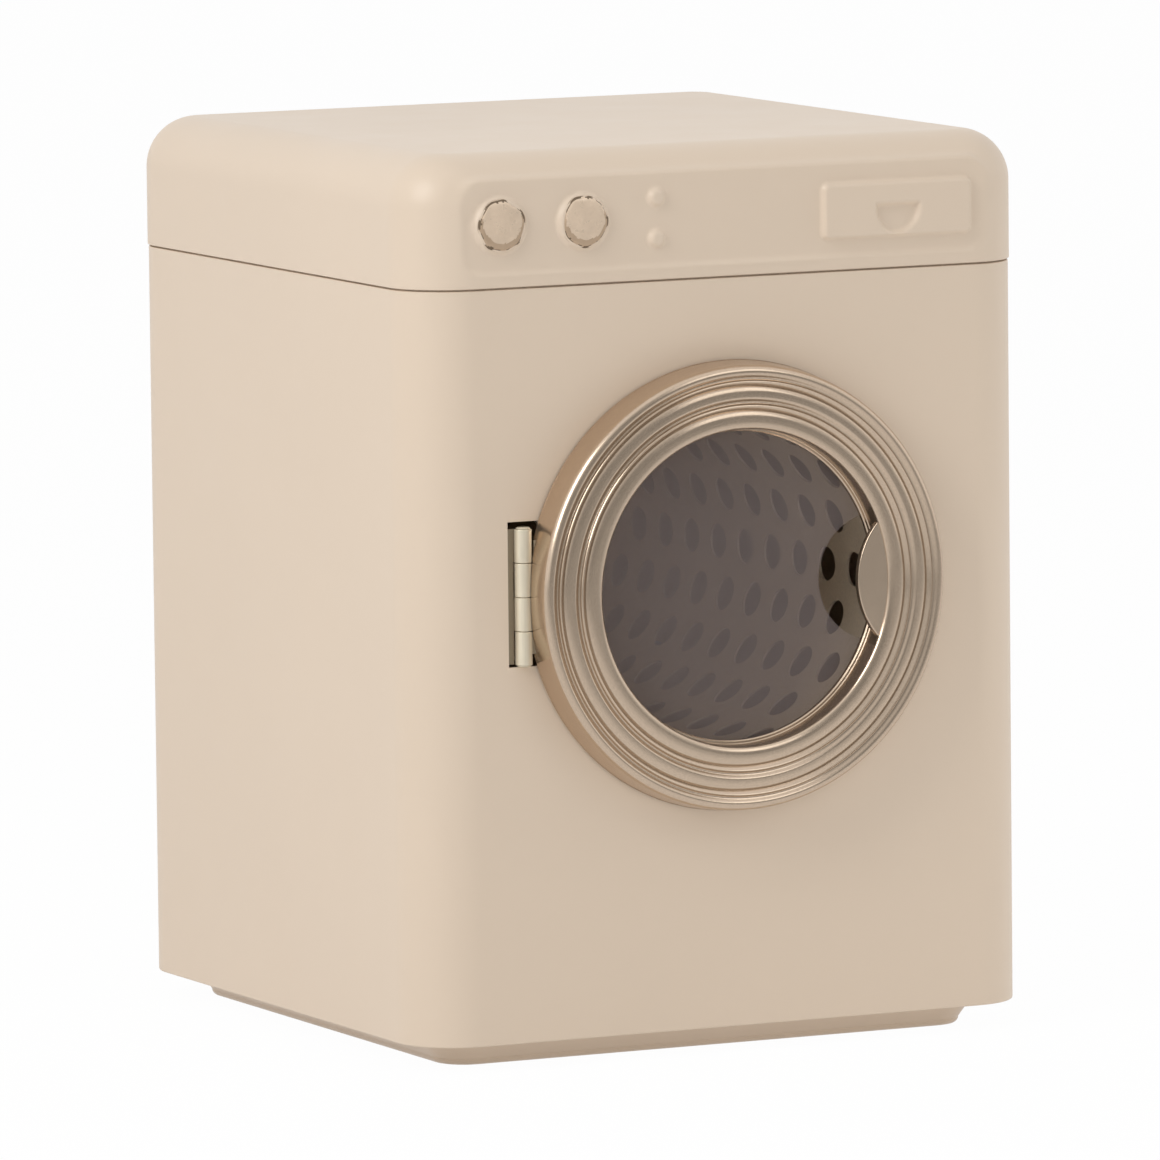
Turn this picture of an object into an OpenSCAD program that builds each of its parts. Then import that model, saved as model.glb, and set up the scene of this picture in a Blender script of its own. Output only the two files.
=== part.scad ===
// Toy washing machine in painted tinplate: cabinet with a cap-shaped cover and a tapered
// plinth, a hinged porthole door with a finger tab, and a perforated drum that turns.
// The middle of the base's underside is the origin. X is to the right, Y to the back, Z up.

/* [Cabinet] */
// Width of the cabinet
cabinet_w = 90; // [84:1:110]
// Depth of the cabinet
cabinet_d = 91; // [86:1:110]
// Height from the plinth's shelf to the seam under the cover
body_h = 99.3; // [94:0.5:120]
// Radius of the cabinet's upright corners
corner_r = 8.3; // [7.5:0.1:11]
// Thickness of the tinplate
sheet_t = 0.5; // [0.4:0.05:0.7]
// Width of the flanges that fold round behind the rear corners
rear_flange_w = 6; // [5:0.5:9]
// Radius of the round opening behind the door
opening_r = 25; // [24.8:0.1:26]
// Depth of the collar turned inwards round that opening
opening_collar = 2.2; // [1.5:0.1:2.4]

/* [Cover] */
// Height of the cover from its lower edge to its flat top
cover_h = 17.3; // [16:0.1:22]
// Radius of the cover's rounded upper edges
cover_round = 6.8; // [4:0.1:7]
// How far the cover stands out past the cabinet on every side
cover_overhang = 0.15; // [0.1:0.05:0.4]
// Open line between the cabinet's shoulder and the cover's lower edge
seam_gap = 0.25; // [0.15:0.05:0.4]
// Height of the inset collar that the cover slips over
collar_h = 4; // [3:0.5:6]

/* [Plinth] */
// Height of the plinth
plinth_h = 3.4; // [2.6:0.2:6]
// Inset of the plinth's upper edge from the cabinet
plinth_inset = 4.5; // [3:0.1:6]
// How much further in the plinth's lower edge is
plinth_taper = 1.8; // [0.5:0.1:2.5]
// Radius of the plinth's upright corners at its upper edge
plinth_corner_r = 6.5; // [5.5:0.1:8]
// Radius of the plinth's lower edge
plinth_edge_r = 0.9; // [0.6:0.1:1.2]
// Height of the tray's flange inside the cabinet
tray_flange_h = 4.6; // [3:0.2:7]

/* [Control panel] */
// Distance of the framed field from the cabinet's sides
field_margin = 6.5; // [5:0.5:8]
// Height of that field
field_h = 13; // [12:0.5:14]
// Width of the raised line round the field
field_line_w = 1.3; // [0.8:0.1:2]
// How far that line stands out
field_line_h = 0.25; // [0.1:0.05:0.4]
// Distance of the field's lower edge above the seam
field_rise = 1.6; // [1:0.1:2.2]
// Radius of the two dial bosses
dial_r = 3.6; // [3.2:0.1:4]
// How far a dial boss stands out
dial_h = 0.55; // [0.3:0.05:1]
// Distance of the left dial's middle from the cabinet's left side
dial_1_in = 12.1; // [11.5:0.1:14]
// Distance of the right dial's middle from the cabinet's left side
dial_2_in = 24.1; // [22:0.1:29]
// Radius of the metal foil on a dial
foil_r = 3.3; // [2.4:0.05:3.35]
// Thickness of that foil
foil_t = 0.12; // [0.08:0.02:0.2]
// Radius of the two lamp dots
dot_r = 1.35; // [1:0.05:1.6]
// How far a lamp dot stands out
dot_h = 0.55; // [0.3:0.05:0.9]
// Distance of the lamp dots from the cabinet's left side
dots_in = 34.8; // [34:0.1:45]
// Height of the lower dot above the upper one's foot, centre to centre
dot_pitch = 5.4; // [4:0.1:6]
// Width of the soap drawer's raised front
drawer_w = 22.1; // [18:0.1:24]
// Height of the soap drawer's raised front
drawer_h = 7.5; // [7:0.1:8.5]
// How far that front stands out
drawer_out = 0.6; // [0.4:0.05:1]
// Distance of the drawer's middle from the cabinet's right side
drawer_in = 19.95; // [19.8:0.05:27]
// Radius of the half-round finger pull in it
pull_r = 3.35; // [2.5:0.05:3.5]
// Depth of that pull
pull_depth = 0.5; // [0.2:0.05:0.5]

/* [Door] */
// Height of the door's middle above the floor
door_z = 62; // [58:0.1:64]
// Outer radius of the door's ring at its rear
ring_r = 29.75; // [29:0.05:30.5]
// How much smaller the ring is at its front
ring_draft = 0.4; // [0:0.05:0.6]
// Radius of the ring's inner wall
ring_hole_r = 20.9; // [20.4:0.1:21.3]
// Thickness of the ring
ring_t = 5; // [4.4:0.1:5.2]
// Open gap between the ring and the cabinet
ring_gap = 0.3; // [0.2:0.05:0.5]
// Width of the ring's outermost ridge
outer_ridge_w = 1.75; // [1.6:0.05:2]
// Width of the narrow ridges
narrow_ridge_w = 0.9; // [0.7:0.05:1.1]
// Width of the wide ridge between them
wide_ridge_w = 2.3; // [2:0.05:2.5]
// Depth of the groove inside each narrow ridge
groove_depth = 0.5; // [0.3:0.05:0.6]
// Depth of the groove outside each narrow ridge
outer_groove_depth = 0.25; // [0.1:0.05:0.3]
// Radius of the ring's rounded outer front edge
ring_edge_r = 1.2; // [0.8:0.05:1.4]
// Radius of the ring's rounded inner front edge
ring_lip_r = 0.55; // [0.3:0.05:0.8]
// Radius of the finger tab
tab_r = 11.3; // [10.8:0.1:12]
// Place of the tab's centre, right of the door's middle
tab_x = 27.9; // [27.4:0.1:28.4]
// Thickness of the tab
tab_t = 1; // [0.8:0.1:1.4]
// Distance of the tab behind the ring's front
tab_in = 0.55; // [0.2:0.05:0.8]
// Radius of the window's pane
window_r = 22.3; // [22.1:0.05:22.5]
// Thickness of the window's pane
window_t = 0.7; // [0.5:0.05:0.9]
// Radius of the finger notch in the pane
notch_r = 8.4; // [7.5:0.1:9]
// Place of the notch's centre, right of the door's middle
notch_x = 21.1; // [20.5:0.1:22]
// Radial width of the ring that holds the pane
retainer_w = 3; // [2.6:0.1:3.1]
// Thickness of that ring
retainer_t = 1.2; // [0.8:0.1:1.5]
// Radius of the pegs that fix it
peg_r = 0.45; // [0.3:0.05:0.5]
// Length of those pegs
peg_l = 1.8; // [1:0.1:2]
// Radius of the door's magnet
magnet_r = 2; // [1.5:0.1:2.2]
// Thickness of the magnet
magnet_t = 1.5; // [1:0.1:1.8]

/* [Hinge] */
// Length of the hinge
hinge_l = 17.9; // [16:0.1:20]
// Height of the hinge's middle above the door's middle
hinge_lift = 0.2; // [-1:0.1:1]
// Radius of the rolled barrel
barrel_r = 1.15; // [1.05:0.05:1.25]
// Thickness of the hinge's leaves
leaf_t = 0.4; // [0.3:0.05:0.45]
// Distance of the pin outside the ring's edge
pin_out = 0.4; // [0.3:0.05:0.6]
// Running clearance between the pin and the barrel
pin_clear = 0.05; // [0.03:0.01:0.08]
// Distance between the leaf behind the front panel and the start of the cabinet's corner
cabinet_leaf_in = 0.15; // [0.1:0.05:1]
// Length of the leaf inside the ring
door_leaf_l = 5; // [4.6:0.1:5.2]
// How much shorter that leaf is than the hinge at each end
door_leaf_in = 1.5; // [0.5:0.1:2]
// Radius of the leaf screws' heads
screw_head_r = 1; // [0.8:0.05:1.1]
// Radius of the leaf screws' shanks
screw_r = 0.5; // [0.4:0.05:0.6]

/* [Drum] */
// Inner radius of the drum
drum_r = 23; // [22:0.1:23.4]
// Thickness of the perforated sheet
drum_t = 0.3; // [0.25:0.05:0.4]
// Distance of the drum's front edge behind the cabinet's front
drum_front = 3; // [2.9:0.1:4]
// Length of the hub that carries the drum's back
hub_l = 4.9; // [3.5:0.1:8]
// Radius of the round holes
hole_r = 2.35; // [1.5:0.05:2.6]
// Spacing of the holes along the drum
hole_pitch = 8.06; // [7.5:0.01:8.6]
// Number of rows of holes round the drum
hole_rows = 21; // [12:1:22]
// Distance of the first hole from the drum's front edge
first_hole = 5.6; // [5:0.1:6]
// Radius of the fixed spindle
spindle_r = 2; // [1.5:0.05:2.5]
// Running clearance between the spindle and the hub
spindle_clear = 0.05; // [0.03:0.01:0.08]
// Radius of the hub's barrel
hub_r = 3.5; // [3.2:0.1:4.5]
// Radius of the hub's flange and of the spindle's cap
flange_r = 5; // [4.8:0.1:6]
// Thickness of the hub's flange and of the washers
washer_t = 0.8; // [0.6:0.05:0.9]

/* [Hidden] */

$fn = 96;
over = 1;                   // how far a cutter runs past what it cuts
fit = 0.05;                 // side clearance of pieces that slip together
cream = [0.87, 0.81, 0.72];
cream_dark = [0.80, 0.73, 0.63];
champagne = [0.72, 0.63, 0.53];
pale_metal = [0.86, 0.82, 0.72];
gold = [0.78, 0.68, 0.50];
smoke = [0.30, 0.26, 0.27, 0.6];
steel = [0.70, 0.70, 0.70];
drum_tin = [0.60, 0.54, 0.47];
nylon = [0.90, 0.89, 0.85];

// The cabinet's planes and heights
front_y = -cabinet_d / 2;
back_y = cabinet_d / 2;
corner_x = cabinet_w / 2 - corner_r;
seam_z = plinth_h + body_h;
shoulder_z = seam_z - seam_gap;
shell_inset = 2 * sheet_t + fit;        // inner face of what slips inside the shell

// The cover's front
cover_front_y = front_y - cover_overhang;
cover_corner_r = corner_r + cover_overhang;
field_w = cabinet_w - 2 * field_margin;
field_z = seam_z + field_rise + field_h / 2;
field_corner_r = 3;
dial_z = field_z;
dial_1_x = dial_1_in - cabinet_w / 2;
dial_2_x = dial_2_in - cabinet_w / 2;
dot_x = dots_in - cabinet_w / 2;
drawer_x = cabinet_w / 2 - drawer_in;
drawer_corner_r = 1;
drawer_z = field_z - 0.35;
pull_rise = 0.85;                       // straight part of the pull above its half circle
press_edge = 0.3;                       // rounding of the pressed shapes

// The door, from the ring's rear face forwards
ring_rear_y = front_y - ring_gap;
ring_front_r = ring_r - ring_draft;
groove_1 = ring_front_r - outer_ridge_w;
groove_2 = groove_1 - narrow_ridge_w;
groove_3 = groove_2 - wide_ridge_w;
groove_4 = groove_3 - narrow_ridge_w;
groove_h = ring_t - groove_depth;
outer_groove_h = ring_t - outer_groove_depth;
lip_crest_r = ring_hole_r + ring_lip_r;
outer_crest_r = ring_front_r - ring_edge_r;
narrow_crest_h = ring_t - 0.05;
narrow_crest_in = 0.6 * narrow_ridge_w; // from a narrow ridge's inner groove to its crest
wide_crest_in = 0.4;                    // from the wide ridge's inner groove to its crest
ridge_steps = 6;
ledge_r = ring_hole_r - 0.5;
ledge_t = 0.8;
retainer_r = opening_r - 0.6;
retainer_hole_r = retainer_r - retainer_w;
peg_n = 4;
peg_at = retainer_r - 0.4 - peg_r;
peg_angle = 45;
magnet_x = (ring_r + retainer_r) / 2 - 0.35;
relief = 0.1;                           // room round the barrel in the ring

// The hinge: the cabinet's leaf lies against the inside of the front panel
pin_x = -(ring_r + pin_out);
leaf_tuck = 0.03;                       // the leaves start just inside the barrel's surface
pin_y = front_y + sheet_t + leaf_t + leaf_tuck - barrel_r;
bore_r = barrel_r - leaf_t;
pin_r = bore_r - pin_clear;
knuckle_n = 4;
knuckle_l = hinge_l / knuckle_n;
knuckle_gap = 0.1;
hinge_z = door_z + hinge_lift - hinge_l / 2;
pin_head_h = 0.2;
slot_side = 0.95;                       // room left of the barrel in the front panel
slot_under = 1.2;                       // how far the slot runs on under the ring
slot_above = 0.9;                       // room above the hinge in the slot
slot_below = 0.25;                      // room below the hinge in the slot
leaf_clear = 0.12;                      // open line between a leaf and the other's knuckles
cabinet_leaf_l = corner_x + pin_x - cabinet_leaf_in;
screw_z = hinge_l / 4;
screw_head_t = 0.3;
screw_l = 1.5;
door_leaf_y = ring_rear_y - screw_head_t - leaf_t;

// The drum and the spindle, from front to back
drum_front_y = front_y + drum_front;
drum_row_angle = -0.4;                  // angle of the first row of holes
rim_r = 0.6;                            // radius of the rolled front rim
back_t = 0.5;
back_flange = 2;
rear_panel_y = back_y - 2 * sheet_t;
end_play = 0.1;
shoulder_l = 1.5;
rear_washer_y = rear_panel_y - shoulder_l - washer_t;
hub_back_y = rear_washer_y - end_play;
hub_front_y = hub_back_y - hub_l;
drum_back_y = hub_front_y + washer_t + back_t;
drum_l = drum_back_y - drum_front_y;
holes_in_row = floor((drum_l - back_flange - hole_r - first_hole) / hole_pitch + 0.5);
front_washer_y = hub_front_y - end_play - washer_t;
cap_l = 2;
cap_wall = 0.6;
spindle_front_y = front_washer_y - cap_l + cap_wall;
head_t = sheet_t;
head_r = hub_r;

// Rivets of the rear panel
rivet_n = 4;
rivet_r = 0.8;
rivet_head_r = 1.6;
rivet_head_h = 0.5;
rivet_x = corner_x - rear_flange_w / 2;
rear_panel_z = plinth_h + tray_flange_h + fit;
rear_panel_top = shoulder_z + collar_h - sheet_t;
rivet_margin = 8;

// A section drawn with X outwards and Y up, carried round a rectangle with round corners
module round_rim(w, d, r, sides = [0, 1, 2, 3]) {
    for (i = [0:3]) {
        out = (i % 2 == 0 ? w : d) / 2 - r;
        along = (i % 2 == 0 ? d : w) / 2 - r;
        rotate([0, 0, 90 * i])
            translate([out, along, 0]) {
                rotate_extrude(angle = 90) children();
                if (len(search(i, sides)) > 0)
                    rotate([90, 0, 0])
                        linear_extrude(2 * along) children();
            }
    }
}

// A plate with round corners, standing on z = 0
module round_plate(w, d, r, h) {
    round_rim(w, d, r) square([r, h]);
    translate([r - w / 2, r - d / 2, 0])
        cube([w - 2 * r, d - 2 * r, h]);
}

// Puts what is drawn along +Z on the line through the door's middle, pointing to the back
module along_depth(y) {
    translate([0, y, door_z])
        rotate([-90, 0, 0]) children();
}

// A tube along the depth, from y to y + l
module tube(y, l, outer, inner) {
    along_depth(y)
        difference() {
            cylinder(r = outer, h = l);
            translate([0, 0, -over])
                cylinder(r = inner, h = l + 2 * over);
        }
}

// Sheet round the front, the sides and the rear corners, with a shoulder and an inset collar
module cabinet_shell() {
    color(cream)
        difference() {
            union() {
                translate([0, 0, plinth_h])
                    round_rim(cabinet_w, cabinet_d, corner_r, [0, 2, 3]) shell_section();
                for (side = [-1, 1])
                    translate([side > 0 ? corner_x - rear_flange_w : -corner_x,
                               back_y - sheet_t, plinth_h])
                        cube([rear_flange_w, sheet_t, shoulder_z - plinth_h]);
                along_depth(front_y)
                    cylinder(r = opening_r + sheet_t, h = opening_collar);
            }
            along_depth(front_y - over)
                cylinder(r = opening_r, h = opening_collar + 2 * over);
            translate([pin_x - barrel_r - slot_side, front_y - over, hinge_z - slot_below])
                cube([barrel_r + slot_side + barrel_r + slot_under, sheet_t + 2 * over,
                      hinge_l + slot_below + slot_above]);
            for (i = [0:rivet_n - 1], side = [-1, 1])
                rivet_place(i, side) cylinder(r = rivet_r + fit, h = 4 * over, center = true);
        }
}

module shell_section() {
    h = shoulder_z - plinth_h;
    translate([corner_r - sheet_t, 0])
        square([sheet_t, h]);
    translate([corner_r - shell_inset, h - sheet_t])
        square([shell_inset - fit, sheet_t]);
    translate([corner_r - shell_inset, h - sheet_t])
        square([sheet_t, collar_h]);
}

// Puts what is drawn along Z on a rivet's line, pointing to the back
module rivet_place(i, side) {
    span = shoulder_z - rear_panel_z - 2 * rivet_margin;
    translate([side * rivet_x, back_y - sheet_t, rear_panel_z + rivet_margin + i * span / (rivet_n - 1)])
        rotate([-90, 0, 0]) children();
}

// Flat sheet that closes the back behind the folded flanges
module rear_panel() {
    w = 2 * (corner_x - fit);
    color(cream_dark)
        difference() {
            translate([-w / 2, rear_panel_y, rear_panel_z])
                cube([w, sheet_t, rear_panel_top - rear_panel_z]);
            along_depth(rear_panel_y - over)
                cylinder(r = spindle_r + fit, h = sheet_t + 2 * over);
            for (i = [0:rivet_n - 1], side = [-1, 1])
                rivet_place(i, side) cylinder(r = rivet_r + fit, h = 4 * over, center = true);
        }
}

// Domed rivets through the flanges and the rear panel, clenched inside
module rear_panel_rivets() {
    color(pale_metal)
        for (i = [0:rivet_n - 1], side = [-1, 1])
            rivet_place(i, side) {
                translate([0, 0, -sheet_t])
                    cylinder(r = rivet_r, h = 2 * sheet_t);
                translate([0, 0, sheet_t])
                    dome(rivet_head_r, rivet_head_h);
                translate([0, 0, -sheet_t - rivet_head_h])
                    cylinder(r = rivet_r + 0.3, h = rivet_head_h);
            }
}

// Cap of a sphere with a flat foot on z = 0
module dome(r, h) {
    ball = (r * r + h * h) / (2 * h);
    intersection() {
        translate([0, 0, h - ball])
            sphere(ball);
        cylinder(r = r + over, h = h + over);
    }
}

// Pressed cap with rounded upper edges, a framed field, dials, dots and the soap drawer
module top_cover() {
    color(cream)
        difference() {
            union() {
                cover_skin(0);
                intersection() {
                    cover_skin(field_line_h);
                    field_frame();
                }
                for (x = [dial_1_x, dial_2_x])
                    on_front(x, dial_z) pressed_disc(dial_r, dial_h);
                for (side = [-1, 1])
                    on_front(dot_x, field_z + side * dot_pitch / 2) dome(dot_r, dot_h);
                on_front(drawer_x, drawer_z)
                    round_plate(drawer_w, drawer_h, drawer_corner_r, drawer_out);
            }
            on_front(drawer_x, drawer_z)
                translate([0, 0, drawer_out - pull_depth]) {
                    intersection() {
                        cylinder(r = pull_r, h = over);
                        translate([-pull_r - over, -pull_r - over, 0])
                            cube([2 * (pull_r + over), pull_r + over, over]);
                    }
                    translate([-pull_r, 0, 0])
                        cube([2 * pull_r, pull_rise, over]);
                }
        }
}

// Puts what is drawn on z = 0 on the cover's front face, with its Y upwards
module on_front(x, z) {
    translate([x, cover_front_y, z])
        rotate([90, 0, 0]) children();
}

// The cover's sheet, made thicker outwards by grow
module cover_skin(grow) {
    r = cover_corner_r + grow;
    w = cabinet_w + 2 * (cover_overhang + grow);
    d = cabinet_d + 2 * (cover_overhang + grow);
    t = sheet_t + grow;
    h = cover_h + grow;
    round_top = cover_round + grow;
    translate([0, 0, seam_z]) {
        round_rim(w, d, r) {
            translate([r - t, 0])
                square([t, h - round_top]);
            translate([r - round_top, h - round_top])
                difference() {
                    intersection() {
                        circle(round_top);
                        square(round_top);
                    }
                    circle(round_top - t);
                }
            translate([0, h - t])
                square([r - round_top, t]);
        }
        translate([r - w / 2, r - d / 2, h - t])
            cube([w - 2 * r, d - 2 * r, t]);
    }
}

module field_frame() {
    reach = corner_r;
    translate([0, cover_front_y - over, field_z])
        rotate([-90, 0, 0])
            difference() {
                round_plate(field_w, field_h, field_corner_r, reach);
                translate([0, 0, -over])
                    round_plate(field_w - 2 * field_line_w, field_h - 2 * field_line_w,
                                field_corner_r - field_line_w, reach + 2 * over);
            }
}

// Disc with a rounded front edge
module pressed_disc(r, h) {
    rotate_extrude() {
        square([r - press_edge, h]);
        square([r, h - press_edge]);
        translate([r - press_edge, h - press_edge])
            circle(press_edge);
    }
}

module dial_foil(x) {
    color(gold)
        on_front(x, dial_z)
            translate([0, 0, dial_h])
                cylinder(r = foil_r, h = foil_t);
}

module program_dial_foil() {
    dial_foil(dial_1_x);
}

module temperature_dial_foil() {
    dial_foil(dial_2_x);
}

// Pressed tray: tapered plinth, a shelf and a flange that sits inside the shell
module base_tray() {
    foot_w = cabinet_w - 2 * plinth_inset;
    foot_d = cabinet_d - 2 * plinth_inset;
    r = plinth_corner_r;
    color(cream_dark) {
        round_rim(foot_w, foot_d, r)
            polygon(concat([[r, plinth_h + sheet_t], [r, plinth_h]], plinth_edge(0),
                           [[0, 0], [0, sheet_t]], reversed(plinth_edge(sheet_t)),
                           [[r - sheet_t, plinth_h], [r - sheet_t, plinth_h + sheet_t]]));
        translate([r - foot_w / 2, r - foot_d / 2, 0])
            cube([foot_w - 2 * r, foot_d - 2 * r, sheet_t]);
        translate([0, 0, plinth_h]) {
            difference() {
                round_plate(cabinet_w - 2 * (sheet_t + fit), cabinet_d - 2 * (sheet_t + fit),
                            corner_r - sheet_t - fit, sheet_t);
                translate([0, 0, -over])
                    round_plate(foot_w - sheet_t, foot_d - sheet_t, r - sheet_t / 2,
                                sheet_t + 2 * over);
            }
            round_rim(cabinet_w, cabinet_d, corner_r)
                translate([corner_r - shell_inset, 0])
                    square([sheet_t, tray_flange_h]);
        }
    }
}

// The plinth's rounded lower edge, as a quarter arc on the section, moved in by inset
function plinth_edge(inset) = [
    for (i = [0:4])
        let (a = 90 * i / 4, r = plinth_edge_r - inset)
            [plinth_corner_r - plinth_taper - plinth_edge_r + r * cos(a), plinth_edge_r - r * sin(a)]
];

function reversed(list) = [for (i = [len(list) - 1:-1:0]) list[i]];

// Moulded ring with turned grooves, a ledge for the pane, and the finger tab
module door_ring() {
    color(champagne)
        difference() {
            union() {
                on_door(0) rotate_extrude() polygon(ring_section());
                intersection() {
                    on_door(0) translate([0, 0, ring_t - tab_in - tab_t])
                        cylinder(r = ring_hole_r + ledge_t, h = tab_t);
                    on_door(0) translate([tab_x, 0, 0])
                        cylinder(r = tab_r, h = ring_t);
                }
            }
            for (i = [0:peg_n - 1])
                on_door(0) rotate([0, 0, peg_angle + 360 * i / peg_n])
                    translate([peg_at, 0, -over])
                        cylinder(r = peg_r + fit, h = peg_l + fit + over);
            on_door(0) translate([magnet_x, 0, -over])
                cylinder(r = magnet_r + fit, h = magnet_t + fit + over);
            translate([pin_x, pin_y, hinge_z - slot_below])
                cylinder(r = barrel_r + relief, h = hinge_l + 2 * slot_below);
            translate([pin_x, door_leaf_y, hinge_z + door_leaf_in - fit])
                cube([door_leaf_l + relief, ring_rear_y - door_leaf_y + over,
                      hinge_l - 2 * door_leaf_in + 2 * fit]);
            for (side = [-1, 1])
                screw_place(side) cylinder(r = screw_r + fit, h = screw_l + relief);
        }
}

// Puts what is drawn along +Z in front of the door's rear plane, moved forwards by h
module on_door(h) {
    translate([0, ring_rear_y - h, door_z])
        rotate([90, 0, 0]) children();
}

// Curve from the groove at radius a, height h, up to the crest at radius c
function rise(a, h, c, crest) = [
    for (i = [1:ridge_steps])
        let (t = 1 - i / ridge_steps)
            [c + (a - c) * t, crest + (h - crest) * t * t]
];

// Curve from the crest at radius c down to the groove at radius b, height h
function fall(c, crest, b, h) = [
    for (i = [1:ridge_steps])
        let (t = i / ridge_steps)
            [c + (b - c) * t, crest + (h - crest) * t * t]
];

// Ridge between an inner groove at radius a and an outer groove at radius b
function ridge(a, ha, c, crest, b, hb) = concat(rise(a, ha, c, crest), fall(c, crest, b, hb));

function ring_section() = concat(
    [[ring_r, 0], [window_r + fit, 0], [window_r + fit, window_t], [ledge_r, window_t],
     [ledge_r, window_t + ledge_t], [ring_hole_r, window_t + ledge_t]],
    [for (i = [0:ridge_steps])
        let (a = 90 * i / ridge_steps)
            [lip_crest_r - ring_lip_r * cos(a), ring_t - ring_lip_r + ring_lip_r * sin(a)]],
    fall(lip_crest_r, ring_t, groove_4, groove_h),
    ridge(groove_4, groove_h, groove_4 + narrow_crest_in, narrow_crest_h, groove_3, outer_groove_h),
    ridge(groove_3, outer_groove_h, groove_3 + wide_crest_in, ring_t, groove_2, groove_h),
    ridge(groove_2, groove_h, groove_2 + narrow_crest_in, narrow_crest_h, groove_1, outer_groove_h),
    rise(groove_1, outer_groove_h, outer_crest_r, ring_t),
    [for (i = [1:ridge_steps])
        let (a = 90 - 90 * i / ridge_steps)
            [outer_crest_r + ring_edge_r * cos(a), ring_t - ring_edge_r + ring_edge_r * sin(a)]]
);

// Tinted pane with the finger notch
module door_window() {
    color(smoke)
        difference() {
            on_door(0) cylinder(r = window_r, h = window_t);
            on_door(-over) translate([notch_x, 0, 0])
                cylinder(r = notch_r, h = window_t + 2 * over);
        }
}

// Split ring behind the pane, with pegs in the door ring; its gap is at the finger notch
module window_retainer() {
    color(champagne)
        difference() {
            union() {
                on_door(-retainer_t)
                    difference() {
                        cylinder(r = retainer_r, h = retainer_t);
                        translate([0, 0, -over])
                            cylinder(r = retainer_hole_r, h = retainer_t + 2 * over);
                    }
                for (i = [0:peg_n - 1])
                    on_door(-fit) rotate([0, 0, peg_angle + 360 * i / peg_n])
                        translate([peg_at, 0, 0])
                            cylinder(r = peg_r, h = peg_l);
            }
            on_door(-retainer_t - over) translate([notch_x, 0, 0])
                cylinder(r = notch_r, h = retainer_t + 2 * over);
        }
}

// Magnet in the ring's rear, which the steel front panel draws in
module door_magnet() {
    color(steel)
        on_door(0) translate([magnet_x, 0, 0])
            cylinder(r = magnet_r, h = magnet_t);
}

// Rolled knuckles of one leaf: every second one, from the first
module knuckles(first) {
    difference() {
        for (i = [first:2:knuckle_n - 1])
            translate([pin_x, pin_y, hinge_z + i * knuckle_l + knuckle_gap / 2])
                cylinder(r = barrel_r, h = knuckle_l - knuckle_gap);
        translate([pin_x, pin_y, hinge_z - over])
            cylinder(r = bore_r, h = hinge_l + 2 * over);
    }
}

// A flat leaf on the side of the barrel that side gives, with arms to its own knuckles;
// it stops short of the hinge's ends by inset
module leaf(first, l, y, side, inset) {
    nearest = min(abs(y - pin_y), abs(y + leaf_t - pin_y));
    root = sqrt(pow(barrel_r + leaf_clear, 2) - pow(nearest, 2));
    for (i = [first:2:knuckle_n - 1])
        let (low = max(i * knuckle_l + knuckle_gap / 2, inset),
             high = min((i + 1) * knuckle_l - knuckle_gap / 2, hinge_l - inset))
            translate([side > 0 ? pin_x : pin_x - root - over / 2, y, hinge_z + low])
                cube([root + over / 2, leaf_t, high - low]);
    translate([side > 0 ? pin_x + root : pin_x - l, y, hinge_z + inset])
        cube([l - root, leaf_t, hinge_l - 2 * inset]);
}

// Leaf spot-welded to the inside of the front panel
module hinge_cabinet_leaf() {
    color(pale_metal)
        difference() {
            union() {
                knuckles(1);
                leaf(1, cabinet_leaf_l, front_y + sheet_t, -1, knuckle_gap / 2);
            }
            translate([pin_x, pin_y, hinge_z - over])
                cylinder(r = bore_r, h = hinge_l + 2 * over);
        }
}

// Leaf screwed into the ring's rear
module hinge_door_leaf() {
    color(pale_metal)
        difference() {
            union() {
                knuckles(0);
                leaf(0, door_leaf_l, door_leaf_y, 1, door_leaf_in);
            }
            translate([pin_x, pin_y, hinge_z - over])
                cylinder(r = bore_r, h = hinge_l + 2 * over);
            for (side = [-1, 1])
                screw_place(side) translate([0, 0, -over])
                    cylinder(r = screw_r + fit, h = 2 * over);
        }
}

// Pin through all knuckles, with a flat head at each end
module hinge_pin() {
    color(pale_metal)
        translate([pin_x, pin_y, hinge_z - pin_head_h]) {
            cylinder(r = pin_r, h = hinge_l + 2 * pin_head_h);
            for (z = [0, hinge_l + pin_head_h])
                translate([0, 0, z])
                    cylinder(r = pin_r + 0.25, h = pin_head_h);
        }
}

// Puts what is drawn along +Z on a leaf screw's line, from the leaf's front face forwards
module screw_place(side) {
    translate([pin_x + door_leaf_l - screw_head_r - 0.6, door_leaf_y,
               door_z + hinge_lift + side * screw_z])
        rotate([90, 0, 0]) children();
}

module door_leaf_screws() {
    color(steel)
        for (side = [-1, 1])
            screw_place(side) {
                translate([0, 0, -leaf_t - screw_head_t])
                    cylinder(r = screw_head_r, h = screw_head_t);
                translate([0, 0, -leaf_t])
                    cylinder(r = screw_r, h = leaf_t + screw_l);
            }
}

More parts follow.
